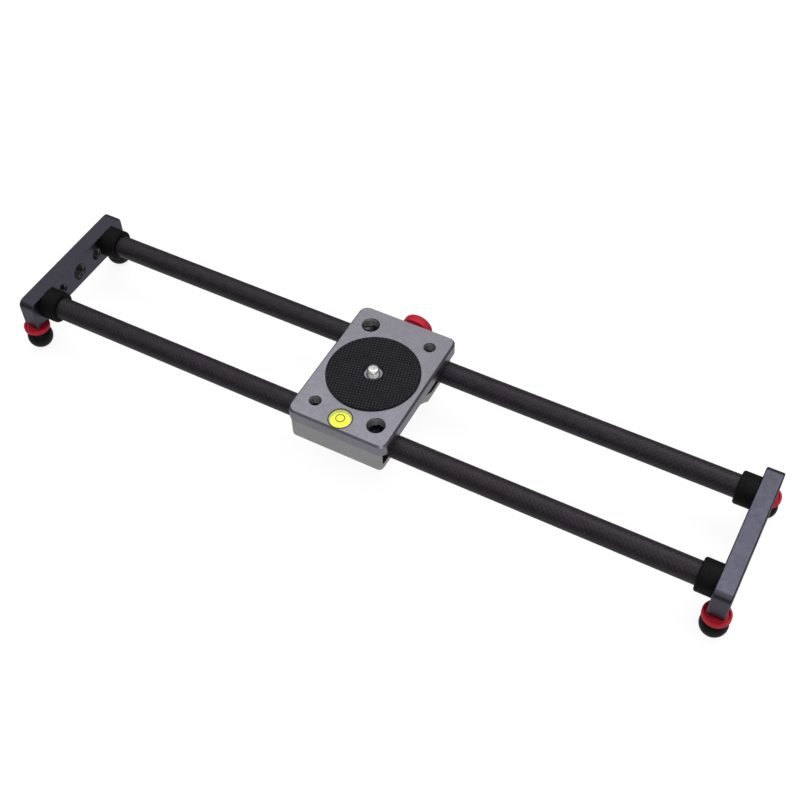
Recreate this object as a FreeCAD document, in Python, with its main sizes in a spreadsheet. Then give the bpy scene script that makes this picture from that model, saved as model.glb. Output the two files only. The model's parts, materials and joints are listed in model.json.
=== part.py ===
import FreeCAD, Part
import math
import os
import re
import Sketcher
from FreeCAD import Placement, Rotation, Vector

# Camera slider: two tubes between two end plates, four screw feet and a rolling carriage.
# +X runs along the tubes, +Z is up and z = 0 is the surface that the feet stand on.
# The origin is under the middle of the whole object's box, so the tubes' middle line is at rail_y.
SIZES = {
    # end plates
    "rail_length": 400.0,
    "rail_y": -3.18,
    "plate_thick": 9.1,
    "plate_width": 80.6,
    "plate_bottom": 16.7,
    "plate_top": 34.1,
    "plate_round": 4.0,
    "plate_edge": 0.5,
    "thread_level": 25.4,
    "large_thread": 4.7625,
    "small_thread": 3.175,
    "small_offset": 15.4,
    "end_lead_in": 0.3,
    # tubes and the sleeves that hold them
    "rod_radius": 6.05,
    "rod_bore": 5.0,
    "rod_offset": 27.22,
    "rod_level": 25.54,
    "plug_length": 14.0,
    "collar_radius": 8.5,
    "collar_reach": 9.1,
    "collar_round": 0.7,
    "collar_fit": 0.02,
    "spigot_radius": 7.2,
    "spigot_depth": 2.0,
    "end_screw_radius": 2.5,
    "end_screw_hole": 2.75,
    "end_screw_length": 18.0,
    "end_head_radius": 4.6,
    "end_head_depth": 2.1,
    "end_socket": 1.75,
    "end_socket_depth": 1.6,
    "screw_sink": 0.1,
    "sink_clear": 0.05,
    # feet
    "foot_offset": 36.8,
    "foot_radius": 6.95,
    "foot_flat": 2.2,
    "foot_top": 12.9,
    "stud_radius": 2.5,
    "stud_bore": 2.56,
    "stud_bottom": 6.0,
    "stud_top": 28.5,
    "stud_hole_top": 30.0,
    "stud_edge": 0.5,
    "ring_radius": 7.05,
    "ring_bottom": 13.1,
    "ring_thick": 2.5,
    "ring_edge": 0.35,
    # carriage deck
    "carriage_x": -2.6,
    "deck_length": 55.6,
    "deck_width": 80.0,
    "deck_bottom": 31.3,
    "deck_top": 38.3,
    "deck_round": 4.5,
    "deck_edge": 1.0,
    "rod_groove": 6.9,
    "deck_hole_x": 17.25,
    "deck_hole_y": 28.6,
    "deck_lead_in": 0.1,
    "thread_relief": 0.6,
    "thread_relief_top": 32.6,
    "screw_bore": 3.5,
    # carriage bases
    "base_length": 50.5,
    "base_shift": -0.75,
    "base_wall": 39.6,
    "base_wall_inner": 36.0,
    "base_bottom": 14.3,
    "base_floor": 18.9,
    "base_round": 6.5,
    "base_inner_round": 2.0,
    "base_end_round": 1.6,
    "base_front_lip": 17.0,
    "base_front_rib": 36.0,
    "base_rib_outer": 1.5,
    "base_rib_inner": 6.5,
    "base_arch": 22.6,
    "rib_bend": 9.2,
    "rib_bend_level": 23.6,
    "rib_shoulder_level": 25.6,
    "rib_overlap": 0.5,
    "flange_edge": 4.0,
    "flange_bend": 9.0,
    "flange_low": 13.2,
    "flange_low_level": 15.2,
    "flange_toe": 15.8,
    "screw_room": 9.0,
    # rollers
    "roller_x": 13.0,
    "roller_y": 16.2,
    "roller_radius": 6.2,
    "roller_height": 7.0,
    "roller_groove": 6.13,
    "roller_room": 6.9,
    "race_outer": 3.5,
    "race_outer_bore": 2.95,
    "race_inner": 2.1,
    "race_height": 3.0,
    "ball_radius": 0.4,
    "axle_radius": 1.5,
    "axle_head": 2.9,
    "axle_head_depth": 1.4,
    "axle_socket": 1.15,
    "axle_socket_depth": 1.1,
    "axle_end": 15.0,
    "spacer_radius": 2.1,
    "deck_screw_x": 15.0,
    "deck_screw_y": 4.0,
    "deck_screw_end": 23.5,
    "deck_screw_tip": 24.5,
    # camera screw and its retainer
    "camera_screw": 3.175,
    "camera_tip": 42.4,
    "camera_tip_edge": 0.6,
    "camera_neck": 2.6,
    "camera_neck_top": 38.4,
    "camera_head": 6.0,
    "camera_head_bottom": 28.2,
    "camera_head_top": 31.1,
    "coin_slot": 1.6,
    "coin_depth": 1.4,
    "retainer_thick": 1.2,
    "retainer_radius": 8.2,
    "retainer_wall": 6.3,
    "retainer_hole": 4.6,
    "retainer_top": 32.5,
    "retainer_bottom": 26.9,
    # pad and level
    "pad_radius": 24.35,
    "pad_hole": 4.75,
    "pad_thick": 0.8,
    "level_x": 0.45,
    "level_y": 32.8,
    "level_radius": 6.35,
    "level_wall": 0.9,
    "level_bottom": 34.3,
    "level_floor": 35.1,
    "level_rim": 38.6,
    "level_fluid_top": 37.5,
    "level_fit": 0.02,
    "level_edge": 0.3,
    "lens_edge": 0.8,
    "lens_edge_depth": 0.2,
    # brake
    "brake_x": -0.1,
    "brake_stem": 2.5,
    "brake_stem_bore": 2.56,
    "brake_hub": 4.2,
    "brake_hub_start": 40.1,
    "knob_start": 44.9,
    "knob_end": 50.2,
    "knob_radius": 8.37,
    "knob_edge": 0.7,
    "knob_seat": 0.5,
    "shoe_gap": 0.5,
    "shoe_back": 35.85,
    "shoe_width": 11.0,
    "shoe_height": 7.0,
    "shoe_clear": 0.05,
    "shoe_wrap": 1.2,
    # how far a cutting tool runs past what it cuts
    "overrun": 1.0,
}
BALLS_PER_BEARING = 9
SIDES_X = {"left": -1, "right": 1}
SIDES_Y = {"front": -1, "rear": 1}

doc = FreeCAD.newDocument("CameraSlider")
sheet = doc.addObject("Spreadsheet::Sheet", "Sizes")
for row, (alias, value) in enumerate(SIZES.items(), 1):
    sheet.set(f"A{row}", alias)
    sheet.set(f"B{row}", str(value))
    sheet.setAlias(f"B{row}", alias)
doc.recompute()

NODES = []


# ---- helpers: every size is an expression over the sheet's names ----

def sized(text):
    """The same expression with each of the sheet's names written as a reference to it."""
    def refer(match):
        word = match.group(0)
        return f"Sizes.{word}" if word in SIZES else word
    return re.sub(r"[a-z_]+", refer, str(text))


def bind(obj, prop, text):
    obj.setExpression(prop, sized(text))


def at(obj, x, y, z, rotation=Rotation()):
    obj.Placement = Placement(Vector(), rotation)
    for axis, text in zip("xyz", (x, y, z)):
        bind(obj, f"Placement.Base.{axis}", text)
    return obj


def signed(sign, text):
    return f"({text})" if sign > 0 else f"-({text})"


def keep(obj, label):
    """Marks an object as one of the sub-parts that are written out."""
    obj.Label = label
    NODES.append(obj)
    return obj


# ---- PartDesign ----

def new_body(name):
    return doc.addObject("PartDesign::Body", name)


def origin_plane(body, role):
    return next(feature for feature in body.Origin.OriginFeatures if feature.Role == role)


def sketch_on(body, role, offset="0"):
    sketch = body.newObject("Sketcher::SketchObject", f"{body.Name}_sketch")
    sketch.AttachmentSupport = (origin_plane(body, role), [""])
    sketch.MapMode = "FlatFace"
    bind(sketch, "AttachmentOffset.Base.z", offset)
    return sketch


def hold(sketch, kind, items, text):
    """Adds one dimension to a sketch and binds its value."""
    index = sketch.addConstraint(Sketcher.Constraint(kind, *items, 1.0))
    bind(sketch, f"Constraints[{index}]", text)


def outline(sketch, points):
    """A closed run of straight lines through points held from the sketch's origin."""
    count = len(points)
    corners = [Vector(math.cos(math.tau * i / count), math.sin(math.tau * i / count)) for i in range(count)]
    for i in range(count):
        sketch.addGeometry(Part.LineSegment(corners[i], corners[(i + 1) % count]), False)
    for i in range(count):
        sketch.addConstraint(Sketcher.Constraint("Coincident", i, 2, (i + 1) % count, 1))
    for i, (u, v) in enumerate(points):
        hold(sketch, "DistanceX", (-1, 1, i, 1), u)
        hold(sketch, "DistanceY", (-1, 1, i, 1), v)
    return sketch


def circles(sketch, discs):
    for u, v, radius in discs:
        index = sketch.addGeometry(Part.Circle(Vector(), Vector(0, 0, 1), 1.0), False)
        hold(sketch, "DistanceX", (-1, 1, index, 3), u)
        hold(sketch, "DistanceY", (-1, 1, index, 3), v)
        hold(sketch, "Radius", (index,), radius)
    return sketch


def pad(body, sketch, length):
    feature = body.newObject("PartDesign::Pad", f"{body.Name}_pad")
    feature.Profile = sketch
    bind(feature, "Length", length)
    doc.recompute()


def pocket(body, sketch, depth, reverse=False):
    before = body.Shape.Volume
    feature = body.newObject("PartDesign::Pocket", f"{body.Name}_pocket")
    feature.Profile = sketch
    feature.Reversed = reverse
    bind(feature, "Length", depth)
    doc.recompute()
    if body.Shape.Volume > before - 0.01:
        raise RuntimeError(f"a pocket of {body.Name} cuts nothing")


def revolve(body, sketch):
    feature = body.newObject("PartDesign::Revolution", f"{body.Name}_turn")
    feature.Profile = sketch
    feature.ReferenceAxis = (sketch, ["V_Axis"])
    feature.Angle = 360
    doc.recompute()


def dress(body, kind, prop, text, chosen):
    """A Fillet or Chamfer on those edges of the body's tip that pass the test."""
    doc.recompute()
    tip = body.Tip
    names = [f"Edge{i}" for i, edge in enumerate(tip.Shape.Edges, 1) if chosen(edge)]
    if not names:
        raise RuntimeError(f"{body.Name} has no edge to {kind}")
    feature = body.newObject(f"PartDesign::{kind}", f"{body.Name}_{kind.lower()}")
    feature.Base = (tip, names)
    bind(feature, prop, text)
    doc.recompute()


def runs_along(edge, axis):
    ends = [vertex.Point for vertex in edge.Vertexes]
    if len(ends) < 2 or edge.Curve.TypeId != "Part::GeomLine":
        return False
    others = [a for a in "xyz" if a != axis]
    return all(abs(getattr(ends[0], a) - getattr(ends[1], a)) < 1e-4 for a in others)


def lies_at(edge, axis, value, within=1e-3):
    box = edge.BoundBox
    low, high = getattr(box, f"{axis.upper()}Min"), getattr(box, f"{axis.upper()}Max")
    return abs(low - value) < within and abs(high - value) < within


def is_circle(edge, radius):
    return edge.Curve.TypeId == "Part::GeomCircle" and abs(edge.Curve.Radius - radius) < 1e-3


def turned(label, profile, x, y, z, rotation=Rotation()):
    """A body revolved about its own Z axis from (radius, height) points, then placed."""
    body = new_body(label)
    revolve(body, outline(sketch_on(body, "XZ_Plane"), profile))
    return keep(at(body, x, y, z, rotation), label)


# ---- Part primitives ----

ALONG_X = Rotation(Vector(0, 1, 0), 90)
AGAINST_X = Rotation(Vector(0, 1, 0), -90)
ALONG_Y = Rotation(Vector(1, 0, 0), -90)


def cylinder(name, radius, height, x, y, z, rotation=Rotation()):
    solid = doc.addObject("Part::Cylinder", name)
    bind(solid, "Radius", radius)
    bind(solid, "Height", height)
    return at(solid, x, y, z, rotation)


def cone(name, bottom, top, height, x, y, z, rotation=Rotation()):
    solid = doc.addObject("Part::Cone", name)
    bind(solid, "Radius1", bottom)
    bind(solid, "Radius2", top)
    bind(solid, "Height", height)
    return at(solid, x, y, z, rotation)


def hexagon(name, radius, height, x, y, z, rotation=Rotation()):
    solid = doc.addObject("Part::Prism", name)
    solid.Polygon = 6
    bind(solid, "Circumradius", radius)
    bind(solid, "Height", height)
    return at(solid, x, y, z, rotation)


def box(name, length, width, height, x, y, z):
    solid = doc.addObject("Part::Box", name)
    bind(solid, "Length", length)
    bind(solid, "Width", width)
    bind(solid, "Height", height)
    return at(solid, x, y, z)


def cut(name, base, *tools):
    for number, tool in enumerate(tools, 1):
        result = doc.addObject("Part::Cut", name if number == len(tools) else f"{name}_step")
        result.Base = base
        result.Tool = tool
        base = result
    return base


def fuse(name, *solids):
    result = doc.addObject("Part::MultiFuse", name)
    result.Shapes = list(solids)
    return result


def common(name, *solids):
    result = doc.addObject("Part::MultiCommon", name)
    result.Shapes = list(solids)
    return result


def group(label, solids):
    result = doc.addObject("Part::Compound", label)
    result.Links = list(solids)
    return keep(result, label)


# ---- rail: end plates, tubes, sleeves, plugs and their screws ----

def end_plate(side):
    sign = SIDES_X[side]
    label = f"end_plate_{side}"
    start = "rail_length / 2 - plate_thick" if sign > 0 else "-rail_length / 2"
    inner_x = sign * (SIZES["rail_length"] / 2 - SIZES["plate_thick"])
    outer_x = sign * SIZES["rail_length"] / 2
    front, rear = "rail_y - plate_width / 2", "rail_y + plate_width / 2"
    body = new_body(label)
    block = [(front, "plate_bottom"), (rear, "plate_bottom"), (rear, "plate_top"), (front, "plate_top")]
    pad(body, outline(sketch_on(body, "YZ_Plane", start), block), "plate_thick")
    top = SIZES["plate_top"]
    dress(body, "Fillet", "Radius", "plate_round",
          lambda edge: runs_along(edge, "x") and lies_at(edge, "z", top))
    dress(body, "Chamfer", "Size", "plate_edge",
          lambda edge: lies_at(edge, "x", inner_x) or lies_at(edge, "x", outer_x))
    far_face = f"{start} + plate_thick"
    rows = [("rail_y", "thread_level", "large_thread")]
    for sign_y in SIDES_Y.values():
        rows.append((f"rail_y + {sign_y} * small_offset", "thread_level", "small_thread"))
        rows.append((f"rail_y + {sign_y} * rod_offset", "rod_level", "end_screw_hole"))
    pocket(body, circles(sketch_on(body, "YZ_Plane", far_face), rows), "plate_thick")
    seat_radius = "spigot_radius + sink_clear"
    seats = [(f"rail_y + {s} * rod_offset", "rod_level", seat_radius) for s in SIDES_Y.values()]
    seat_plane = signed(sign, "rail_length / 2 - plate_thick")
    pocket(body, circles(sketch_on(body, "YZ_Plane", seat_plane), seats), "spigot_depth", reverse=sign > 0)
    foot_x = signed(sign, "rail_length / 2 - plate_thick / 2")
    studs = [(foot_x, f"rail_y + {s} * foot_offset", "stud_bore") for s in SIDES_Y.values()]
    pocket(body, circles(sketch_on(body, "XY_Plane", "plate_bottom"), studs),
           "stud_hole_top - plate_bottom", reverse=True)
    threads = (SIZES["large_thread"], SIZES["small_thread"])
    dress(body, "Chamfer", "Size", "end_lead_in",
          lambda edge: any(is_circle(edge, r) for r in threads)
          and (lies_at(edge, "x", inner_x) or lies_at(edge, "x", outer_x)))
    hole = SIZES["end_screw_hole"]
    dress(body, "Chamfer", "Size", "end_head_radius - end_screw_hole + screw_sink + sink_clear",
          lambda edge: is_circle(edge, hole) and lies_at(edge, "x", outer_x))
    keep(body, label)


def rod(side):
    y = f"rail_y + {SIDES_Y[side]} * rod_offset"
    length = "rail_length - 2 * plate_thick + 2 * spigot_depth"
    places = (f"-({length}) / 2", y, "rod_level", ALONG_X)
    tube = cylinder(f"rod_{side}_skin", "rod_radius", length, *places)
    bore = cylinder(f"rod_{side}_bore", "rod_bore", length, *places)
    keep(cut(f"rod_{side}", tube, bore), f"rod_{side}")


def collar(side_x, side_y):
    sign = SIDES_X[side_x]
    profile = [
        ("rod_radius + collar_fit", "-spigot_depth"),
        ("spigot_radius", "-spigot_depth"),
        ("spigot_radius", "0"),
        ("collar_radius", "0"),
        ("collar_radius", "collar_reach - collar_round"),
        ("collar_radius - collar_round", "collar_reach"),
        ("rod_radius + collar_fit", "collar_reach"),
    ]
    turned(f"collar_{side_x}_{side_y}", profile, signed(sign, "rail_length / 2 - plate_thick"),
           f"rail_y + {SIDES_Y[side_y]} * rod_offset", "rod_level", AGAINST_X if sign > 0 else ALONG_X)


def rod_plug(side_x, side_y):
    sign = SIDES_X[side_x]
    label = f"rod_plug_{side_x}_{side_y}"
    end = signed(sign, "rail_length / 2 - plate_thick + spigot_depth")
    y = f"rail_y + {SIDES_Y[side_y]} * rod_offset"
    places = (end, y, "rod_level", AGAINST_X if sign > 0 else ALONG_X)
    body = cylinder(f"{label}_body", "rod_bore", "plug_length", *places)
    bore = cylinder(f"{label}_bore", "end_screw_radius", "plug_length", *places)
    keep(cut(label, body, bore), label)


def end_screw(side_x, side_y):
    sign = SIDES_X[side_x]
    label = f"end_screw_{side_x}_{side_y}"
    y = f"rail_y + {SIDES_Y[side_y]} * rod_offset"
    end = signed(sign, "rail_length / 2 - screw_sink")
    places = (end, y, "rod_level", AGAINST_X if sign > 0 else ALONG_X)
    head = cone(f"{label}_head", "end_head_radius", "end_screw_radius", "end_head_depth", *places)
    shank = cylinder(f"{label}_shank", "end_screw_radius", "end_screw_length", *places)
    socket = hexagon(f"{label}_socket", "end_socket", "end_socket_depth", *places)
    return cut(label, fuse(f"{label}_blank", head, shank), socket)


# ---- feet: rubber ball on a threaded stud, and the red ring nut that lowers it ----

def foot(side_x, side_y):
    corner = f"{side_x}_{side_y}"
    x = signed(SIDES_X[side_x], "rail_length / 2 - plate_thick / 2")
    y = f"rail_y + {SIDES_Y[side_y]} * foot_offset"
    ball = doc.addObject("Part::Sphere", f"foot_{corner}_ball")
    bind(ball, "Radius", "foot_radius")
    at(ball, x, y, "sqrt(foot_radius * foot_radius - foot_flat * foot_flat)")
    slab = cylinder(f"foot_{corner}_slab", "foot_radius", "foot_top", x, y, "0")
    socket = cylinder(f"foot_{corner}_socket", "stud_radius", "foot_top", x, y, "stud_bottom")
    label = f"foot_ball_{corner}"
    keep(cut(label, common(f"{label}_blank", ball, slab), socket), label)
    stud = [
        ("0", "stud_bottom"),
        ("stud_radius", "stud_bottom"),
        ("stud_radius", "stud_top - stud_edge"),
        ("stud_radius - stud_edge", "stud_top"),
        ("0", "stud_top"),
    ]
    turned(f"foot_stud_{corner}", stud, x, y, "0")
    ring = [
        ("stud_bore", "0"),
        ("ring_radius - ring_edge", "0"),
        ("ring_radius", "ring_edge"),
        ("ring_radius", "ring_thick - ring_edge"),
        ("ring_radius - ring_edge", "ring_thick"),
        ("stud_bore", "ring_thick"),
    ]
    turned(f"foot_ring_{corner}", ring, x, y, "ring_bottom")


# ---- carriage ----

def deck():
    body = new_body("deck")
    left, right = "carriage_x - deck_length / 2", "carriage_x + deck_length / 2"
    front, rear = "rail_y - deck_width / 2", "rail_y + deck_width / 2"
    block = [(left, front), (right, front), (right, rear), (left, rear)]
    pad(body, outline(sketch_on(body, "XY_Plane", "deck_bottom"), block), "deck_top - deck_bottom")
    dress(body, "Fillet", "Radius", "deck_round", lambda edge: runs_along(edge, "z"))
    top = SIZES["deck_top"]
    dress(body, "Chamfer", "Size", "deck_edge", lambda edge: lies_at(edge, "z", top))
    grooves = [(f"rail_y + {s} * rod_offset", "rod_level", "rod_groove") for s in SIDES_Y.values()]
    groove_plane = sketch_on(body, "YZ_Plane", "carriage_x + deck_length")
    pocket(body, circles(groove_plane, grooves), "2 * deck_length")
    recess = [("carriage_x", "rail_y", "retainer_radius + sink_clear")]
    pocket(body, circles(sketch_on(body, "XY_Plane", "deck_bottom"), recess),
           "retainer_top - deck_bottom", reverse=True)
    through = [("carriage_x", "rail_y", "screw_bore")]
    reliefs = []
    for sign_x in SIDES_X.values():
        for sign_y in SIDES_Y.values():
            radius = "large_thread" if sign_x != sign_y else "small_thread"
            x, y = f"carriage_x + {sign_x} * deck_hole_x", f"rail_y + {sign_y} * deck_hole_y"
            through.append((x, y, radius))
            reliefs.append((x, y, f"{radius} + thread_relief"))
            through.append((f"carriage_x + {sign_x} * roller_x",
                            f"rail_y + {sign_y} * roller_y", "axle_radius"))
            through.append((f"carriage_x + {sign_x} * deck_screw_x",
                            f"rail_y + {sign_y} * deck_screw_y", "axle_radius"))
    pocket(body, circles(sketch_on(body, "XY_Plane", "deck_top"), through), "deck_top - deck_bottom")
    pocket(body, circles(sketch_on(body, "XY_Plane", "deck_bottom"), reliefs),
           "thread_relief_top - deck_bottom", reverse=True)
    level = [("carriage_x - level_x", "rail_y - level_y", "level_radius + level_fit")]
    pocket(body, circles(sketch_on(body, "XY_Plane", "deck_top"), level), "deck_top - level_bottom")
    threads = (SIZES["large_thread"], SIZES["small_thread"])
    dress(body, "Chamfer", "Size", "deck_lead_in",
          lambda edge: any(is_circle(edge, r) for r in threads) and lies_at(edge, "z", top))
    axle = SIZES["axle_radius"]
    dress(body, "Chamfer", "Size", "axle_head - axle_radius + screw_sink + sink_clear",
          lambda edge: is_circle(edge, axle) and lies_at(edge, "z", top))
    keep(body, "deck")


def base_profile(sign, rib_only=False):
    """Outline of a channel across the tube, seen along X, from its rib to its outer wall."""
    rib = [
        ("base_front_lip", "base_floor"),
        ("rib_bend", "rib_bend_level"),
        ("base_rib_inner", "rib_shoulder_level"),
        ("base_rib_inner", "deck_bottom"),
        ("base_rib_outer", "deck_bottom"),
        ("base_rib_outer", "base_arch"),
        ("flange_edge", "base_arch"),
        ("flange_bend", "base_floor"),
        ("flange_low", "flange_low_level"),
        ("flange_toe", "base_bottom"),
    ]
    wall = [
        ("base_wall", "base_bottom"),
        ("base_wall", "deck_bottom"),
        ("base_wall_inner", "deck_bottom"),
        ("base_wall_inner", "base_floor"),
    ]
    lip = [("base_front_lip", "base_floor"), ("base_front_lip", "base_bottom")]
    if rib_only:
        end = "base_front_lip + rib_overlap"
        points = rib + [(end, "base_bottom"), (end, "base_floor")]
    elif sign > 0:
        points = rib + wall
    else:
        points = lip + wall
    return [(f"rail_y + {sign} * ({y})", z) for y, z in points]


def base(side):
    sign = SIDES_Y[side]
    label = f"base_{side}"
    body = new_body(label)
    middle = "carriage_x + base_shift"
    pad(body, outline(sketch_on(body, "YZ_Plane", f"{middle} - base_length / 2"), base_profile(sign)),
        "base_length")
    if sign < 0:
        ribs = sketch_on(body, "YZ_Plane", f"{middle} - base_front_rib / 2")
        pad(body, outline(ribs, base_profile(sign, rib_only=True)), "base_front_rib")
    wall_y = SIZES["rail_y"] + sign * SIZES["base_wall"]
    inner_y = SIZES["rail_y"] + sign * SIZES["base_wall_inner"]
    dress(body, "Fillet", "Radius", "base_round",
          lambda edge: runs_along(edge, "x") and lies_at(edge, "y", wall_y)
          and lies_at(edge, "z", SIZES["base_bottom"]))
    dress(body, "Fillet", "Radius", "base_inner_round",
          lambda edge: runs_along(edge, "x") and lies_at(edge, "y", inner_y)
          and lies_at(edge, "z", SIZES["base_floor"]))
    dress(body, "Fillet", "Radius", "base_end_round",
          lambda edge: runs_along(edge, "z") and lies_at(edge, "y", wall_y))
    middle_room = [("carriage_x", "rail_y", "screw_room")]
    pocket(body, circles(sketch_on(body, "XY_Plane", "deck_bottom"), middle_room), "deck_bottom - base_floor")
    rooms = []
    axles = []
    screws = []
    for sign_x in SIDES_X.values():
        x = f"carriage_x + {sign_x} * roller_x"
        y = f"rail_y + {sign} * roller_y"
        rooms.append((x, y, "roller_room"))
        axles.append((x, y, "axle_radius"))
        screws.append((f"carriage_x + {sign_x} * deck_screw_x",
                       f"rail_y + {sign} * deck_screw_y", "axle_radius"))
    pocket(body, circles(sketch_on(body, "XY_Plane", "deck_bottom"), rooms), "deck_bottom - base_floor")
    pocket(body, circles(sketch_on(body, "XY_Plane", "base_floor"), axles), "base_floor - base_bottom")
    pocket(body, circles(sketch_on(body, "XY_Plane", "deck_bottom"), screws), "deck_bottom - deck_screw_end")
    if sign > 0:
        stem = sketch_on(body, "XZ_Plane", "-(rail_y + base_wall + overrun)")
        pocket(body, circles(stem, [("carriage_x + brake_x", "rod_level", "brake_stem_bore")]),
               "base_wall - base_wall_inner + 2 * overrun", reverse=True)
    keep(body, label)


def roller(side_x, side_y):
    corner = f"{side_x}_{side_y}"
    x = f"carriage_x + {SIDES_X[side_x]} * roller_x"
    y = f"rail_y + {SIDES_Y[side_y]} * roller_y"
    low = "rod_level - roller_height / 2"
    label = f"roller_{corner}"
    wheel = cylinder(f"{label}_blank", "roller_radius", "roller_height", x, y, low)
    groove = doc.addObject("Part::Torus", f"{label}_groove")
    bind(groove, "Radius1", "rod_offset - roller_y")
    bind(groove, "Radius2", "roller_groove")
    at(groove, x, y, "rod_level")
    bore = cylinder(f"{label}_bore", "race_outer", "roller_height", x, y, low)
    keep(cut(label, wheel, groove, bore), label)
    race_low = "rod_level - race_height / 2"
    races = (("outer", "race_outer", "race_outer_bore"), ("inner", "race_inner", "axle_radius"))
    for part, outer, inner in races:
        name = f"bearing_{part}_{corner}"
        blank = cylinder(f"{name}_blank", outer, "race_height", x, y, race_low)
        hole = cylinder(f"{name}_bore", inner, "race_height", x, y, race_low)
        keep(cut(name, blank, hole), name)


def bearing_balls():
    balls = []
    for side_x, sign_x in SIDES_X.items():
        for side_y, sign_y in SIDES_Y.items():
            for i in range(BALLS_PER_BEARING):
                turn = 360 * i / BALLS_PER_BEARING
                ball = doc.addObject("Part::Sphere", f"ball_{side_x}_{side_y}_{i}")
                bind(ball, "Radius", "ball_radius")
                reach = "(race_inner + race_outer_bore) / 2"
                at(ball, f"carriage_x + {sign_x} * roller_x + {reach} * cos({turn})",
                   f"rail_y + {sign_y} * roller_y + {reach} * sin({turn})", "rod_level")
                balls.append(ball)
    group("bearing_balls", balls)


def carriage_places(offset_x, offset_y):
    """The four mirrored places of a fastener in the carriage, with a name for each."""
    for side_x, sign_x in SIDES_X.items():
        for side_y, sign_y in SIDES_Y.items():
            yield (f"{side_x}_{side_y}", f"carriage_x + {sign_x} * {offset_x}",
                   f"rail_y + {sign_y} * {offset_y}")


def countersunk_screws(label, offset_x, offset_y, end):
    screws = []
    for corner, x, y in carriage_places(offset_x, offset_y):
        name = f"{label}_{corner}"
        top = "deck_top - screw_sink"
        head = cone(f"{name}_head", "axle_radius", "axle_head", "axle_head_depth",
                    x, y, f"{top} - axle_head_depth")
        shank = cylinder(f"{name}_shank", "axle_radius", f"{top} - ({end})", x, y, end)
        socket = hexagon(f"{name}_socket", "axle_socket", "axle_socket_depth",
                         x, y, f"{top} - axle_socket_depth")
        screws.append(cut(name, fuse(f"{name}_blank", head, shank), socket))
    group(label, screws)


def roller_spacers(label, low, high):
    spacers = []
    for corner, x, y in carriage_places("roller_x", "roller_y"):
        blank = cylinder(f"{label}_{corner}_blank", "spacer_radius", f"{high} - ({low})", x, y, low)
        bore = cylinder(f"{label}_{corner}_bore", "axle_radius", f"{high} - ({low})", x, y, low)
        spacers.append(cut(f"{label}_{corner}", blank, bore))
    group(label, spacers)


def camera_screw():
    profile = [
        ("0", "camera_head_bottom"),
        ("camera_head", "camera_head_bottom"),
        ("camera_head", "camera_head_top"),
        ("camera_neck", "camera_head_top"),
        ("camera_neck", "camera_neck_top"),
        ("camera_screw", "camera_neck_top + camera_tip_edge"),
        ("camera_screw", "camera_tip - camera_tip_edge"),
        ("camera_screw - camera_tip_edge", "camera_tip"),
        ("0", "camera_tip"),
    ]
    body = new_body("camera_screw")
    revolve(body, outline(sketch_on(body, "XZ_Plane"), profile))
    half, reach = "coin_slot / 2", "camera_head + overrun"
    slot = [(f"-({reach})", f"-{half}"), (reach, f"-{half}"), (reach, half), (f"-({reach})", half)]
    pocket(body, outline(sketch_on(body, "XY_Plane", "camera_head_bottom"), slot), "coin_depth", reverse=True)
    keep(at(body, "carriage_x", "rail_y", "0"), "camera_screw")


def screw_retainer():
    profile = [
        ("retainer_hole", "retainer_bottom"),
        ("retainer_radius", "retainer_bottom"),
        ("retainer_radius", "retainer_top"),
        ("retainer_wall", "retainer_top"),
        ("retainer_wall", "retainer_bottom + retainer_thick"),
        ("retainer_hole", "retainer_bottom + retainer_thick"),
    ]
    turned("screw_retainer", profile, "carriage_x", "rail_y", "0")


def rubber_pad():
    places = ("carriage_x", "rail_y", "deck_top")
    disc = cylinder("pad_disc", "pad_radius", "pad_thick", *places)
    hole = cylinder("pad_hole", "pad_hole", "pad_thick", *places)
    keep(cut("rubber_pad", disc, hole), "rubber_pad")


def level():
    place = ("carriage_x - level_x", "rail_y - level_y")
    cup = [
        ("0", "level_bottom"),
        ("level_radius", "level_bottom"),
        ("level_radius", "level_rim - level_edge"),
        ("level_radius - level_edge", "level_rim"),
        ("level_radius - level_wall", "level_rim"),
        ("level_radius - level_wall", "level_floor"),
        ("0", "level_floor"),
    ]
    turned("level_cup", cup, *place, "0")
    fluid = cylinder("level_fluid", "level_radius - level_wall - level_fit",
                     "level_fluid_top - level_floor", *place, "level_floor")
    keep(fluid, "level_fluid")
    lens = [
        ("0", "level_fluid_top"),
        ("level_radius - level_wall - level_fit", "level_fluid_top"),
        ("level_radius - level_wall - level_fit", "level_rim - lens_edge_depth"),
        ("level_radius - level_wall - lens_edge", "level_rim"),
        ("0", "level_rim"),
    ]
    turned("level_lens", lens, *place, "0")


# ---- brake: the knob's screw pushes a shoe against the rear tube ----

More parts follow.
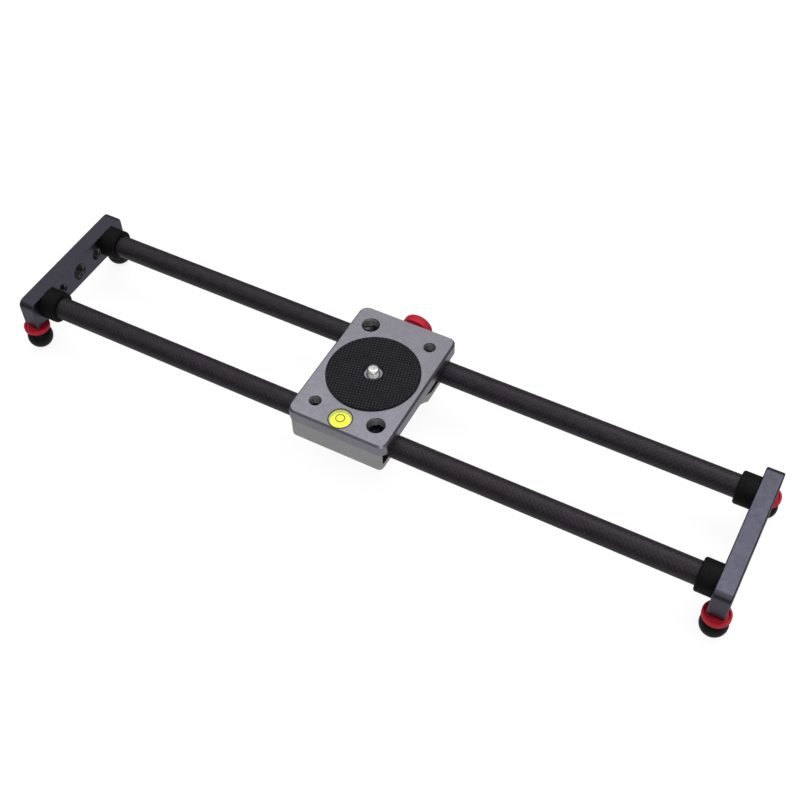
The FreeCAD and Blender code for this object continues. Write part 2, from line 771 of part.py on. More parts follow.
def brake():
    x = "carriage_x + brake_x"
    stem = [
        ("0", "shoe_back"),
        ("brake_stem", "shoe_back"),
        ("brake_stem", "brake_hub_start"),
        ("brake_hub", "brake_hub_start"),
        ("brake_hub", "knob_start + knob_seat"),
        ("0", "knob_start + knob_seat"),
    ]
    turned("brake_stem", stem, x, "rail_y", "rod_level", ALONG_Y)
    cap = [
        ("0", "knob_start + knob_seat"),
        ("brake_hub", "knob_start + knob_seat"),
        ("brake_hub", "knob_start"),
        ("knob_radius - knob_edge", "knob_start"),
        ("knob_radius", "knob_start + knob_edge"),
        ("knob_radius", "knob_end - knob_edge"),
        ("knob_radius - knob_edge", "knob_end"),
        ("0", "knob_end"),
    ]
    turned("brake_knob", cap, x, "rail_y", "rod_level", ALONG_Y)
    front = "rail_y + rod_offset + rod_radius - shoe_wrap"
    block = box("shoe_block", "shoe_width", "shoe_back - shoe_clear - rod_offset - rod_radius + shoe_wrap",
                "shoe_height", f"{x} - shoe_width / 2", front, "rod_level - shoe_height / 2")
    hollow = cylinder("shoe_hollow", "rod_radius + shoe_gap", "shoe_width + 2 * overrun",
                      f"{x} - shoe_width / 2 - overrun", "rail_y + rod_offset", "rod_level", ALONG_X)
    keep(cut("brake_shoe", block, hollow), "brake_shoe")


for side_x in SIDES_X:
    end_plate(side_x)
for side_y in SIDES_Y:
    rod(side_y)
for side_x in SIDES_X:
    for side_y in SIDES_Y:
        collar(side_x, side_y)
        rod_plug(side_x, side_y)
        foot(side_x, side_y)
        roller(side_x, side_y)
group("end_screws", [end_screw(side_x, side_y) for side_x in SIDES_X for side_y in SIDES_Y])
deck()
base("front")
base("rear")
bearing_balls()
countersunk_screws("axle_screws", "roller_x", "roller_y", "axle_end")
countersunk_screws("deck_screws", "deck_screw_x", "deck_screw_y", "deck_screw_tip")
roller_spacers("spacers_upper", "rod_level + race_height / 2", "deck_bottom")
roller_spacers("spacers_lower", "base_floor", "rod_level - race_height / 2")
camera_screw()
screw_retainer()
rubber_pad()
level()
brake()
doc.recompute()

# ---- check every object, then write one file for each sub-part ----
for item in doc.Objects:
    if "Invalid" in item.State or "Error" in item.State:
        raise RuntimeError(f"{item.Label} failed to compute: {item.State}")
os.makedirs("parts", exist_ok=True)
for node in NODES:
    if node.Shape.isNull() or not node.Shape.isValid():
        raise RuntimeError(f"{node.Label} has no valid shape")
    node.Shape.exportStep(f"parts/{node.Label}.step")
print(len(NODES), "sub-parts written")
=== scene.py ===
import json
import math

import bmesh
import bpy
from mathutils import Matrix, Vector


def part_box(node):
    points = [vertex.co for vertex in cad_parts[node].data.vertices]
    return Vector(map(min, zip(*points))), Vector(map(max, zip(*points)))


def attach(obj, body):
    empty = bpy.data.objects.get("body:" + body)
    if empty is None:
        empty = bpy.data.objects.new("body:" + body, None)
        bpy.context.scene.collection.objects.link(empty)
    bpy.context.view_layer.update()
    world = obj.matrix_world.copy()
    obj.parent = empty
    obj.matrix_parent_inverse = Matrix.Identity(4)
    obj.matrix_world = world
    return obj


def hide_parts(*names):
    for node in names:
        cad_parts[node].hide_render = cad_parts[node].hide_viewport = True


# Looks of a camera slider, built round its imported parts. Lengths here are metres unless a name says mm.
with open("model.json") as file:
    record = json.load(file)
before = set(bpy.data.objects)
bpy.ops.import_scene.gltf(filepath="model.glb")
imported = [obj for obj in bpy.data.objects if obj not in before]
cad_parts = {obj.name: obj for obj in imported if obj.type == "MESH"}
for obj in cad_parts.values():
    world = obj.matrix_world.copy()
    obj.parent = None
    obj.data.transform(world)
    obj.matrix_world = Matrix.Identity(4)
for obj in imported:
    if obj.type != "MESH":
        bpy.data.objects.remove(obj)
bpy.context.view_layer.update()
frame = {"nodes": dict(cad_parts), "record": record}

MM = 0.001
TAU = math.tau
SIDES_X = ("left", "right")
SIDES_Y = ("front", "rear")
CORNERS = [f"{a}_{b}" for a in SIDES_X for b in SIDES_Y]
NODES = frame["nodes"]
MOUNTS = {mount["name"]: mount for mount in frame["record"]["mounts"]}


# ---------------------------------------------------------------- camera, floor and light

def set_camera():
    """The camera's place and turn, with its small roll, in the row's frame."""
    place = Vector((0.210955, -0.354127, 0.520642))
    right = Vector((0.88163705, 0.47153424, -0.01927655))
    forward = Vector((-0.310927, 0.54964863, -0.77537783))
    up = right.cross(forward)
    data = bpy.data.cameras.new("camera")
    data.sensor_width = 36.0
    data.lens = 56.35
    data.clip_start = 0.01
    camera = bpy.data.objects.new("camera", data)
    turn = Matrix((right, up, -forward)).transposed().to_4x4()
    camera.matrix_world = Matrix.Translation(place) @ turn
    bpy.context.scene.collection.objects.link(camera)
    bpy.context.scene.camera = camera


def area_light(name, place, target, size, power):
    data = bpy.data.lights.new(name, "AREA")
    data.shape = "RECTANGLE"
    data.size, data.size_y = size
    data.energy = power
    light = bpy.data.objects.new(name, data)
    light.location = place
    light.rotation_mode = "QUATERNION"
    light.rotation_quaternion = (Vector(target) - Vector(place)).to_track_quat("-Z", "Y")
    bpy.context.scene.collection.objects.link(light)


# The studio's brightness against the height of the direction: pale below, dark walls, a bright ceiling.
SKY = ((-0.98, 0.46), (-0.45, 0.46), (-0.15, 0.10), (0.45, 0.12), (0.85, 0.62), (0.98, 0.62))

# Each light's name, place, target, size and power in watts.
LIGHTS = (
    ("overhead_right", (0.25, 0.50, 1.0), (0.05, 0, 0), (0.6, 0.7), 1.7),
    ("overhead_left", (-0.42, 0.50, 1.0), (-0.05, 0, 0), (0.5, 0.7), 0.5),
    ("front_right", (0.7, -0.8, 0.8), (0, 0, 0), (0.6, 0.6), 1.0),
)


def set_light():
    world = bpy.data.worlds.new("studio")
    bpy.context.scene.world = world
    world.use_nodes = True
    tree = world.node_tree
    background = tree.nodes["Background"]
    height = tree.nodes.new("ShaderNodeSeparateXYZ")
    tree.links.new(tree.nodes.new("ShaderNodeTexCoord").outputs["Generated"], height.inputs[0])
    ramp = tree.nodes.new("ShaderNodeValToRGB")
    ramp.color_ramp.elements.remove(ramp.color_ramp.elements[0])
    for position, level in SKY:
        stop = ramp.color_ramp.elements.new((position + 1) / 2)
        stop.color = (level, level, level, 1)
    ramp.color_ramp.elements.remove(ramp.color_ramp.elements[-1])
    share = tree.nodes.new("ShaderNodeMapRange")
    share.inputs["From Min"].default_value = -1.0
    tree.links.new(height.outputs["Z"], share.inputs["Value"])
    tree.links.new(share.outputs["Result"], ramp.inputs["Fac"])
    tree.links.new(ramp.outputs["Color"], background.inputs["Color"])
    background.inputs["Strength"].default_value = 1.0
    for light in LIGHTS:
        area_light(*light)
    view = bpy.context.scene.view_settings
    view.view_transform = "Standard"
    view.look = "None"


FLOOR_GAP = 0.00002
FLOOR_GLOW = 0.86


def add_floor():
    """A wide sheet of pale paper, just under the feet, which the object neither reflects nor is lit by."""
    bm = bmesh.new()
    bmesh.ops.create_grid(bm, x_segments=8, y_segments=8, size=4.0)
    mesh = bpy.data.meshes.new("floor")
    bm.to_mesh(mesh)
    bm.free()
    floor = bpy.data.objects.new("floor", mesh)
    floor.location.z = -FLOOR_GAP
    bpy.context.scene.collection.objects.link(floor)
    glow = {"Emission_Color": (1, 1, 1, 1), "Emission_Strength": FLOOR_GLOW}
    look = Look("floor_paper", (0.40, 0.40, 0.40), 0.9, **glow)
    look.vary_colour(30.0, 0.01)
    mesh.materials.append(look.material)
    floor.visible_diffuse = False
    floor.visible_glossy = False


# ---------------------------------------------------------------- materials

class Look:
    """A Principled material whose colour, roughness and bump come from procedural nodes."""

    def __init__(self, name, colour, roughness, metallic=0.0, **sockets):
        self.material = bpy.data.materials.new(name)
        self.material.use_nodes = True
        self.tree = self.material.node_tree
        self.shader = self.tree.nodes["Principled BSDF"]
        self.colour = tuple(colour)
        self.roughness = roughness
        self.set("Base Color", (*colour, 1))
        self.set("Roughness", roughness)
        self.set("Metallic", metallic)
        for socket, value in sockets.items():
            self.set(socket.replace("_", " "), value)
        self.place = self.tree.nodes.new("ShaderNodeTexCoord").outputs["Object"]

    def set(self, socket, value):
        self.shader.inputs[socket].default_value = value

    def node(self, kind, values=(), **properties):
        made = self.tree.nodes.new(kind)
        for key, value in properties.items():
            setattr(made, key, value)
        for key, value in dict(values).items():
            if isinstance(value, bpy.types.NodeSocket):
                self.tree.links.new(value, made.inputs[key])
            else:
                made.inputs[key].default_value = value
        return made

    def noise(self, scale, detail=3.0, stretch=(1, 1, 1)):
        place = self.node("ShaderNodeMapping", {"Vector": self.place, "Scale": stretch}).outputs[0]
        values = {"Vector": place, "Scale": scale, "Detail": detail}
        return self.node("ShaderNodeTexNoise", values).outputs["Fac"]

    def ramp(self, value, low, high, start=0.35, end=0.65):
        made = self.node("ShaderNodeMapRange", {
            "Value": value, "From Min": start, "From Max": end, "To Min": low, "To Max": high})
        return made.outputs["Result"]

    def math(self, operation, a, b=0.0):
        return self.node("ShaderNodeMath", {0: a, 1: b}, operation=operation).outputs[0]

    def current(self, socket, default):
        links = self.shader.inputs[socket].links
        return links[0].from_socket if links else default

    def vary_colour(self, scale, amount, stretch=(1, 1, 1)):
        """Lighter and darker by that share, over a noise."""
        self.tint(self.noise(scale, stretch=stretch), 1 - amount, 1 + amount)

    def tint(self, value, low, high, start=0.35, end=0.65):
        factor = self.ramp(value, low, high, start, end)
        grey = self.node("ShaderNodeCombineColor", {0: factor, 1: factor, 2: factor}).outputs[0]
        base = self.current("Base Color", (*self.colour, 1))
        mix = self.node("ShaderNodeMix", {6: base, 7: grey, 0: 1.0}, data_type="RGBA", blend_type="MULTIPLY")
        self.tree.links.new(mix.outputs[2], self.shader.inputs["Base Color"])

    def vary_roughness(self, scale, amount, stretch=(1, 1, 1)):
        noise = self.noise(scale, stretch=stretch)
        value = self.ramp(noise, self.roughness - amount, self.roughness + amount)
        self.tree.links.new(value, self.shader.inputs["Roughness"])

    def bump(self, value, depth, strength=1.0):
        """Adds one more layer of bump, depth metres high."""
        values = {"Height": value, "Distance": depth, "Strength": strength}
        links = self.shader.inputs["Normal"].links
        if links:
            values["Normal"] = links[0].from_socket
        made = self.node("ShaderNodeBump", values)
        self.tree.links.new(made.outputs["Normal"], self.shader.inputs["Normal"])


def blasted_metal(name, colour, roughness, speckle=0.10):
    """Bead-blasted, anodised aluminium: fine grain, faint clouding."""
    grain, depth = 2600.0, 0.000012
    look = Look(name, colour, roughness, 1.0)
    look.tint(look.noise(grain, 2.0), 1 - speckle, 1 + speckle)
    look.vary_colour(60.0, 0.03)
    look.vary_roughness(400.0, 0.04)
    look.bump(look.noise(grain, 2.0), depth, 0.5)
    return look


WEAVE_LENGTH = 0.0027


def carbon_look():
    """Satin tubes of woven carbon cloth, both along X. The weave runs along and round each tube's axis."""
    look = Look("carbon_tube", (0.037, 0.029, 0.039), 0.42, 0.0, Specular_IOR_Level=0.40)
    front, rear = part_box("rod_front"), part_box("rod_rear")
    middle = (front[0].y + rear[1].y) / 2
    radius = (front[1].y - front[0].y) / 2
    offset = rear[1].y - radius - middle
    axis = (front[0].z + front[1].z) / 2
    wave = TAU / WEAVE_LENGTH
    split = look.node("ShaderNodeSeparateXYZ", {0: look.place}).outputs
    across = look.math("SUBTRACT", look.math("ABSOLUTE", look.math("SUBTRACT", split["Y"], middle)), offset)
    angle = look.math("ARCTAN2", look.math("SUBTRACT", split["Z"], axis), across)
    around = look.math("MULTIPLY", angle, radius)
    first = look.math("SINE", look.math("MULTIPLY", look.math("ADD", split["X"], around), wave))
    second = look.math("SINE", look.math("MULTIPLY", look.math("SUBTRACT", split["X"], around), wave))
    weave = look.math("ADD", look.math("MULTIPLY", first, 0.6), look.math("MULTIPLY", second, 0.4))
    look.tint(weave, 0.78, 1.25, -0.7, 0.7)
    look.vary_colour(420.0, 0.22, (0.6, 1, 1))
    look.vary_roughness(500.0, 0.05, (0.15, 1, 1))
    look.bump(weave, 0.00006, 0.7)
    look.bump(look.noise(1800.0, 2.0), 0.000008, 0.4)
    return look


def rubber_look(name, colour, roughness):
    """Matt rubber, slightly mottled."""
    look = Look(name, colour, roughness, 0.0, Specular_IOR_Level=0.25)
    look.vary_colour(140.0, 0.12)
    look.vary_roughness(300.0, 0.08)
    look.bump(look.noise(3000.0, 2.0), 0.00002, 0.5)
    return look


def plastic_look(name, colour, roughness, gloss=0.4):
    """Moulded plastic with a fine spark-eroded grain."""
    look = Look(name, colour, roughness, 0.0, Specular_IOR_Level=gloss)
    look.vary_colour(160.0, 0.10)
    look.vary_roughness(420.0, 0.06)
    look.bump(look.noise(2200.0, 2.0), 0.000015, 0.5)
    return look


def turned_metal(name, colour, roughness):
    """Machined metal with fine streaks."""
    scale = 2500.0
    look = Look(name, colour, roughness, 1.0)
    look.vary_colour(scale, 0.08, (1, 1, 0.4))
    look.vary_roughness(scale * 0.5, 0.06, (0.4, 1, 1))
    look.bump(look.noise(scale, 2.0, (0.3, 1, 1)), 0.000006, 0.4)
    return look


def red_look():
    """Red anodised aluminium with a satin, slightly clouded surface."""
    look = Look("red_anodised", (0.93, 0.030, 0.062), 0.46, 0.20, Specular_IOR_Level=0.35)
    look.vary_colour(350.0, 0.06)
    look.vary_roughness(900.0, 0.05)
    look.bump(look.noise(3200.0, 2.0), 0.000006, 0.4)
    return look


def clear_look(name, colour, roughness, alpha):
    """Thin clear acrylic: mostly see-through, with a soft shine."""
    look = Look(name, colour, roughness, 0.0, IOR=1.49, Alpha=alpha)
    look.vary_colour(500.0, 0.05)
    look.vary_roughness(700.0, 0.02)
    return look


# Depths below the level's top: of the spirit's floor and its rim. The painted glow fades out above the floor.
LEVEL_DEPTH = 0.0024
LEVEL_RIM = 0.0006
LEVEL_PAINTED_GLOW_FADE = 0.0006


def fluid_look():
    """Yellow-green spirit: a painted glow makes it bright over the floor, and it turns paler up the wall as a
    painted highlight.
    """
    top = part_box("level_cup")[1].z
    floor, rim = top - LEVEL_DEPTH, top - LEVEL_RIM
    # The pale tone up the wall is a painted highlight, standing in for light falling on the bowl's wall.
    yellow, pale = (0.93, 0.98, 0.02, 1), (0.86, 0.88, 0.60, 1)
    look = Look("level_fluid", yellow[:3], 0.25, 0.0, Specular_IOR_Level=0.3)
    height = look.node("ShaderNodeSeparateXYZ", {0: look.place}).outputs["Z"]
    share = look.ramp(height, 0.0, 1.0, floor, rim)
    mix = look.node("ShaderNodeMix", {0: share, 6: yellow, 7: pale}, data_type="RGBA")
    look.tree.links.new(mix.outputs[2], look.shader.inputs["Base Color"])
    look.vary_colour(300.0, 0.04)
    look.vary_roughness(400.0, 0.03)
    # Painted light: the spirit glows over its floor and fades out above it, though it is no lamp.
    glow = look.ramp(height, 0.55, 0.03, floor, floor + LEVEL_PAINTED_GLOW_FADE)
    look.set("Emission Color", (0.95, 1.0, 0.02, 1))
    look.tree.links.new(glow, look.shader.inputs["Emission Strength"])
    return look


LOOKS = {}


def make_looks():
    LOOKS["plate_metal"] = blasted_metal("plate_metal", (0.118, 0.115, 0.150), 0.36)
    LOOKS["plain_aluminium"] = turned_metal("plain_aluminium", (0.60, 0.60, 0.62), 0.35)
    LOOKS["carbon"] = carbon_look()
    LOOKS["black_plastic"] = plastic_look("black_plastic", (0.006, 0.0055, 0.0065), 0.62, 0.22)
    LOOKS["foot_rubber"] = rubber_look("foot_rubber", (0.007, 0.007, 0.008), 0.50)
    LOOKS["red_anodised"] = red_look()
    LOOKS["steel"] = turned_metal("plain_steel", (0.45, 0.45, 0.46), 0.38)
    LOOKS["bright_steel"] = turned_metal("bright_steel", (0.97, 0.96, 0.95), 0.26)
    LOOKS["deck_metal"] = blasted_metal("deck_metal", (0.37, 0.362, 0.415), 0.34, speckle=0.14)
    LOOKS["thread_metal"] = blasted_metal("thread_metal", (0.17, 0.17, 0.175), 0.34)
    LOOKS["base_metal"] = blasted_metal("base_metal", (0.52, 0.52, 0.53), 0.42)
    LOOKS["roller_nylon"] = plastic_look("roller_nylon", (0.02, 0.02, 0.02), 0.5)
    LOOKS["bearing_steel"] = turned_metal("bearing_steel", (0.62, 0.62, 0.62), 0.22)
    LOOKS["pad_rubber"] = rubber_look("pad_rubber", (0.012, 0.011, 0.015), 0.62)
    LOOKS["pad_dots"] = rubber_look("pad_dots", (0.085, 0.080, 0.095), 0.50)
    LOOKS["level_mark"] = plastic_look("level_mark", (0.20, 0.23, 0.01), 0.5)
    # The level's cup is dark olive: painted shade, standing in for its clear wall and the gap round it in
    # shadow.
    LOOKS["level_clear"] = plastic_look("level_clear", (0.075, 0.085, 0.030), 0.25)
    LOOKS["level_lens"] = clear_look("level_lens", (0.95, 1.0, 0.80), 0.08, 0.10)
    LOOKS["level_fluid"] = fluid_look()


def dress_nodes():
    """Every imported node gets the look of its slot."""
    for entry in frame["record"]["subparts"]:
        node = NODES[entry["node"]]
        material = LOOKS[entry["material_slot"]].material
        for index in range(len(node.material_slots)):
            node.material_slots[index].material = material
        if not node.material_slots:
            node.data.materials.append(material)


# ---------------------------------------------------------------- mesh helpers

def piece(name, mesh, slot, body, *stands_for, look=None):
    """Makes an object of a mesh, with its slot's look or another, and rides it on a body."""
    made = bpy.data.objects.new(name, mesh)
    bpy.context.scene.collection.objects.link(made)
    mesh.materials.append(LOOKS[look or slot].material)
    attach(made, body)
    if stands_for:
        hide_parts(*stands_for)
    return made


def spun(name, rows, columns, place, loop=False, turn=Matrix.Identity(4), sharp=35.0):
    """A surface of revolution about its own Z axis. Each row is (radius or a function of the angle, height).

    A row of radius 0 is a single point. loop joins the last row to the first, which makes a ring.
    """
    verts, rings = [], []
    for radius, height in rows:
        if not callable(radius) and radius == 0:
            rings.append([len(verts)])
            verts.append((0, 0, height))
            continue
        start = len(verts)
        for i in range(columns):
            angle = TAU * i / columns
            reach = radius(angle) if callable(radius) else radius
            level = height(angle) if callable(height) else height
            verts.append((reach * math.cos(angle), reach * math.sin(angle), level))
        rings.append(list(range(start, start + columns)))
    pairs = list(zip(rings, rings[1:]))
    if loop:
        pairs.append((rings[-1], rings[0]))
    faces = []
    for low, high in pairs:
        for i in range(columns):
            j = (i + 1) % columns
            if len(low) == 1:
                faces.append((low[0], high[j], high[i]))
            elif len(high) == 1:
                faces.append((low[i], low[j], high[0]))
            else:
                faces.append((low[i], low[j], high[j], high[i]))
    mesh = bpy.data.meshes.new(name)
    mesh.from_pydata(verts, [], faces)
    bm = bmesh.new()
    bm.from_mesh(mesh)
    bmesh.ops.recalc_face_normals(bm, faces=bm.faces)
    bm.to_mesh(mesh)
    bm.free()
    mesh.transform(Matrix.Translation(place) @ turn)
    mesh.shade_smooth()
    mesh.set_sharp_from_angle(angle=math.radians(sharp))
    return mesh


def arc(centre_r, centre_z, radius, start, end, steps):
    """Rows along an arc in the (radius, height) plane, angles in degrees."""
    rows = []
    for i in range(steps + 1):
        angle = math.radians(start + (end - start) * i / steps)
        rows.append((max(0.0, centre_r + radius * math.cos(angle)), centre_z + radius * math.sin(angle)))
    return rows


# ---------------------------------------------------------------- threads

def thread_rows(major, minor, pitch, low, high, fade, per_pitch=10):
    """Rows of a helical thread from low to high, fading to the major radius over fade at each end."""
    count = max(2, round((high - low) / pitch * per_pitch))
    rows = []
    for i in range(count + 1):
        level = low + (high - low) * i / count
        full = min(1.0, (level - low) / fade, (high - level) / fade)

        def reach(angle, level=level, full=max(0.0, full)):
            phase = (level / pitch - angle / TAU) % 1.0
            wave = min(1.0, max(0.0, abs(2 * phase - 1) * 1.35 - 0.12))
            return major + (minor - major) * wave * full
        rows.append((reach, level))
    return rows


def thread_liner(name, mount, pitch, slot, body, low, high):
    """A threaded hole's wall as a ring inside the plain bore. low and high run along the mount's axis."""
    wall = mount["dims"]["r_mm"] * MM
    crest = wall - THREAD_DEPTH * pitch
    skin = wall - LINER_GAP
    rows = thread_rows(skin - LINER_SKIN, crest, pitch, low, high, pitch * 0.4)
    rows = [(skin, low)] + rows + [(skin, high)]
    turn = Vector((0, 0, 1)).rotation_difference(Vector(mount["axis"])).to_matrix().to_4x4()
    mesh = spun(name, rows, 56, Vector(mount["pos_m"]), loop=True, turn=turn)
    return piece(name, mesh, slot, body, look="thread_metal")


COARSE_PITCH = 25.4 / 16 * MM
FINE_PITCH = 25.4 / 20 * MM
# A thread's depth is a share of its pitch. A liner clears its bore's wall and is a little thick at the roots.
THREAD_DEPTH = 0.61
LINER_GAP = 0.00001
LINER_SKIN = 0.00006
# How far each liner stops short of the hole's ends.
DECK_INSET_LOW = 0.00135
DECK_INSET_HIGH = 0.0002
END_INSET = 0.0004


def add_threads():
    """A liner for every threaded hole in the deck and the end plates."""
    deck_low, deck_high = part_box("deck")
    plate_low, plate_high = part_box("end_plate_left")
    half = (plate_high.x - plate_low.x) / 2 - END_INSET
    for name, mount in MOUNTS.items():
        if mount["kind"] != "threaded_hole":
            continue
        pitch = COARSE_PITCH if "large" in name else FINE_PITCH
        if name.startswith("deck"):
            level = mount["pos_m"][2]
            thread_liner(f"thread_{name}", mount, pitch, "deck_metal", "carriage",
                         deck_low.z + DECK_INSET_LOW - level, deck_high.z - DECK_INSET_HIGH - level)
        else:
            thread_liner(f"thread_{name}", mount, pitch, "plate_metal", "rail", -half, half)


# ---------------------------------------------------------------- camera screw

def add_camera_screw():
    """A turned screw: a head with a small socket beneath, a neck, and the thread with its dimpled tip."""
    low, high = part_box("camera_screw")
    centre = Vector(((low.x + high.x) / 2, (low.y + high.y) / 2, 0))
    major = MOUNTS["camera_screw"]["dims"]["r_mm"] * MM
    minor = major - 0.00074
    start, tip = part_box("deck")[1].z - 0.0028, high.z
    head, head_height, bevel = (high.x - low.x) / 2, 0.0029, 0.0004
    socket, socket_depth, neck = 0.0008, 0.0014, 0.0026
    rows = [(0, low.z + socket_depth), (socket, low.z + socket_depth), (socket, low.z), (head - bevel, low.z)]
    rows += [(head, low.z + bevel), (head, low.z + head_height - bevel), (head - bevel, low.z + head_height)]
    rows += [(neck, low.z + head_height), (neck, start - bevel), (major - 0.0003, start)]
    rows += thread_rows(major, minor, FINE_PITCH, start, tip - 0.0007, 0.0006, 14)
    rows += [(major - 0.00012, tip - 0.0006), (major - 0.00055, tip - 0.00012), (major - 0.0008, tip)]
    rows += [(0.0009, tip), (0.0006, tip - 0.0003), (0, tip - 0.0005)]
    mesh = spun("camera_screw_turned", rows, 72, centre, sharp=28)
    piece("camera_screw_turned", mesh, "bright_steel", "camera_screw", "camera_screw")


# ---------------------------------------------------------------- dotted pad

PAD_HOLE = 0.00475
PAD_EDGE = 0.00018
DOT_PITCH = 0.0016
DOT_RADIUS = 0.00042
DOT_RISE = 0.00016
DOT_SIDES = 8
DOT_MARGIN = 0.0007
DOT_TURN = math.radians(14.3)
# Each ring of a dot: its share of the radius, and its height over the pad.
DOT_RINGS = ((1.0, -0.00005), (0.86, DOT_RISE * 0.6), (0.5, DOT_RISE * 0.92))


def add_dot(verts, faces, x, y):
    """One closed, low dome."""
    start = len(verts)
    sides = DOT_SIDES
    for share, level in DOT_RINGS:
        for k in range(sides):
            angle = TAU * k / sides
            reach = share * DOT_RADIUS
            verts.append((x + reach * math.cos(angle), y + reach * math.sin(angle), level))
    verts.append((x, y, DOT_RISE))
    for ring in range(len(DOT_RINGS) - 1):
        for k in range(sides):
            a, b = start + ring * sides + k, start + ring * sides + (k + 1) % sides
            faces.append((a, b, b + sides, a + sides))
    top = start + (len(DOT_RINGS) - 1) * sides
    for k in range(sides):
        faces.append((top + k, top + (k + 1) % sides, top + sides))
    faces.append(tuple(start + k for k in reversed(range(sides))))


def add_pad():
    """The pad's ring, and its dots as one mesh in a turned, square pattern."""
    low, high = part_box("rubber_pad")
    centre = Vector(((low.x + high.x) / 2, (low.y + high.y) / 2, 0))
    outer = (high.x - low.x) / 2
    rows = [(PAD_HOLE, low.z), (PAD_HOLE, high.z - PAD_EDGE), (PAD_HOLE + PAD_EDGE, high.z)]
    rows += [(outer * 0.5, high.z), (outer - PAD_EDGE, high.z), (outer, high.z - PAD_EDGE), (outer, low.z)]
    mesh = spun("pad_disc", rows, 144, centre, loop=True)
    piece("pad_disc", mesh, "pad_rubber", "carriage", "rubber_pad")
    verts, faces = [], []
    reach = int(outer / DOT_PITCH) + 2
    for i in range(-reach, reach + 1):
        for j in range(-reach, reach + 1):
            u, v = i * DOT_PITCH, (j + 0.5) * DOT_PITCH
            x = u * math.cos(DOT_TURN) - v * math.sin(DOT_TURN)
            y = u * math.sin(DOT_TURN) + v * math.cos(DOT_TURN)
            if PAD_HOLE + DOT_MARGIN < math.hypot(x, y) < outer - DOT_MARGIN:
                add_dot(verts, faces, x, y)
    mesh = bpy.data.meshes.new("pad_dots")
    mesh.from_pydata(verts, [], faces)
    mesh.transform(Matrix.Translation(centre + Vector((0, 0, high.z))))
    mesh.shade_smooth()
    piece("pad_dots", mesh, "pad_rubber", "carriage", look="pad_dots")


# ---------------------------------------------------------------- spirit level

def add_level():
    """A cup of yellow-green spirit under a clear lens, with the ring mark on top."""
    low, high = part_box("level_cup")
    centre = Vector(((low.x + high.x) / 2, (low.y + high.y) / 2, 0))
    outer = (high.x - low.x) / 2
    top = high.z
    edge, wall, base = 0.0004, 0.0005, 0.0010
    cup = [(0, low.z), (outer - edge, low.z), (outer, low.z + edge), (outer, top - edge)]
    cup += arc(outer - edge, top - edge, edge, 0, 90, 5)
    cup += [(outer - 0.00045, top - 0.0001), (outer - wall, top - edge)]
    cup += [(outer - wall, low.z + base), (0, low.z + base)]
    mesh = spun("level_cup_moulded", cup, 96, centre)
    # The cup's dark olive look is painted shade for its clear wall in shadow.
    piece("level_cup_moulded", mesh, "level_clear", "carriage", "level_cup")
    inner = outer - wall - 0.00003
    bottom, deep = low.z + base + 0.00005, top - LEVEL_DEPTH
    bowl = [(0, bottom), (inner, bottom), (inner, top - LEVEL_RIM), (inner - 0.0002, top - 0.0005)]
    bowl += [(inner - 0.0008, deep + 0.0004), (inner - 0.0012, deep), (0, deep)]
    mesh = spun("level_fluid_fill", bowl, 96, centre)
    piece("level_fluid_fill", mesh, "level_fluid", "carriage", "level_fluid")
    lens_edge, dome = inner - 0.00003, 0.0003
    lens = [(0, top - 0.00045), (lens_edge, top - 0.00045), (lens_edge, top - dome)]
    lens += [(lens_edge * math.cos(t), top - dome + dome * math.sin(t)) for t in (0.3, 0.6, 0.9, 1.2, 1.4)]
    lens += [(0, top)]
    mesh = spun("level_lens_dome", lens, 96, centre)
    piece("level_lens_dome", mesh, "level_lens", "carriage", "level_lens")
    mark_in, mark_out = 0.00202, 0.00246
    mark_low, mark_high = top - 0.0001, top + 0.00006
    mark = [(mark_in, mark_low), (mark_out, mark_low), (mark_out, mark_high), (mark_in, mark_high)]
    mesh = spun("level_ring_mark", mark, 72, centre, loop=True)
    piece("level_ring_mark", mesh, "level_lens", "carriage", look="level_mark")


# ---------------------------------------------------------------- feet, rings and knob

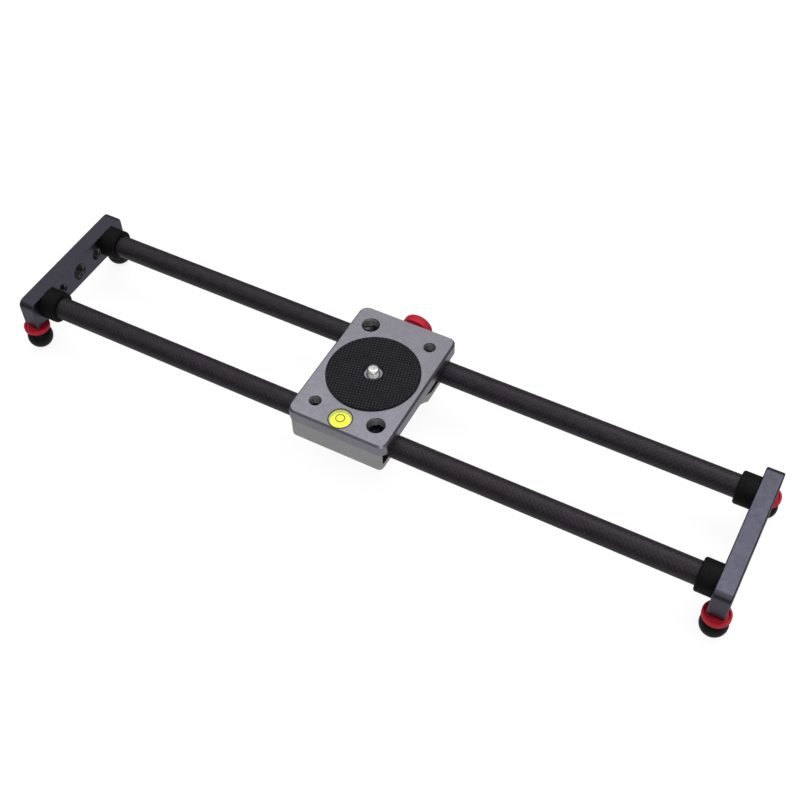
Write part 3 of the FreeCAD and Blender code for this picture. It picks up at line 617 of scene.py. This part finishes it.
def add_feet():
    """A rubber ball with a small flat beneath and a shallow parting line round its middle."""
    flat, line = 0.0022, 0.00006
    for corner in CORNERS:
        low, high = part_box(f"foot_ball_{corner}")
        centre = Vector(((low.x + high.x) / 2, (low.y + high.y) / 2, 0))
        radius = (high.x - low.x) / 2
        middle = math.sqrt(radius ** 2 - flat ** 2)
        top_angle = math.degrees(math.asin((high.z - middle) / radius))
        low_angle = -math.degrees(math.acos(flat / radius))
        rows = [(0, low.z + 0.0001), (flat * 0.8, low.z + 0.0001), (flat * 0.9, low.z)]
        rows += arc(0, middle, radius, low_angle, -2, 22) + arc(0, middle, radius - line, -0.8, 0.8, 2)
        rows += arc(0, middle, radius, 2, top_angle, 20) + [(0, high.z)]
        mesh = spun(f"foot_rubber_{corner}", rows, 96, centre)
        piece(f"foot_rubber_{corner}", mesh, "foot_rubber", f"foot_{corner}", f"foot_ball_{corner}")


def add_rings():
    """The foot's adjusting ring: a rounded rim round a sunken face."""
    rim, sink, edge, bore = 0.0010, 0.0011, 0.00035, 0.00256
    for corner in CORNERS:
        low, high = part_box(f"foot_ring_{corner}")
        centre = Vector(((low.x + high.x) / 2, (low.y + high.y) / 2, 0))
        radius = (high.x - low.x) / 2
        rows = [(bore, low.z), (radius - edge, low.z), (radius, low.z + edge)]
        rows += arc(radius - edge, high.z - edge, edge, 0, 90, 5)
        rows += [(radius - rim, high.z), (radius - rim - 0.0002, high.z - 0.0002)]
        rows += [(radius - rim - 0.0004, high.z - sink), (bore, high.z - sink)]
        name = f"foot_ring_dished_{corner}"
        mesh = spun(name, rows, 120, centre, loop=True)
        piece(name, mesh, "red_anodised", f"foot_ring_{corner}", f"foot_ring_{corner}")


def add_knob():
    """The brake knob: a disc with a domed rim, a fine-toothed edge and a shallow dished face."""
    low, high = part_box("brake_knob")
    centre = Vector(((low.x + high.x) / 2, low.y, (low.z + high.z) / 2))
    radius = (high.x - low.x) / 2
    depth = high.y - low.y
    teeth, bite = 60, 0.00012
    hub, hub_sink = 0.0042, 0.0003

    def grip(angle):
        return radius - bite * (0.5 + 0.5 * math.cos(teeth * angle))

    rows = [(0, hub_sink), (hub, hub_sink), (hub, 0)]
    rows += [(radius - 0.0007, 0), (radius - 0.00025, 0.00025), (grip, 0.0007), (grip, depth - 0.0009)]
    rows += [(radius - 0.00035, depth - 0.00035), (radius - 0.0009, depth)]
    rows += [(radius - 0.0022, depth), (radius - 0.0027, depth - 0.0004), (0, depth - 0.0005)]
    turn = Matrix.Rotation(math.radians(-90), 4, "X")
    mesh = spun("brake_knob_grip", rows, 480, centre, turn=turn)
    piece("brake_knob_grip", mesh, "red_anodised", "brake_knob", "brake_knob")


make_looks()
set_camera()
add_floor()
set_light()
dress_nodes()
add_threads()
add_camera_screw()
add_pad()
add_level()
add_feet()
add_rings()
add_knob()
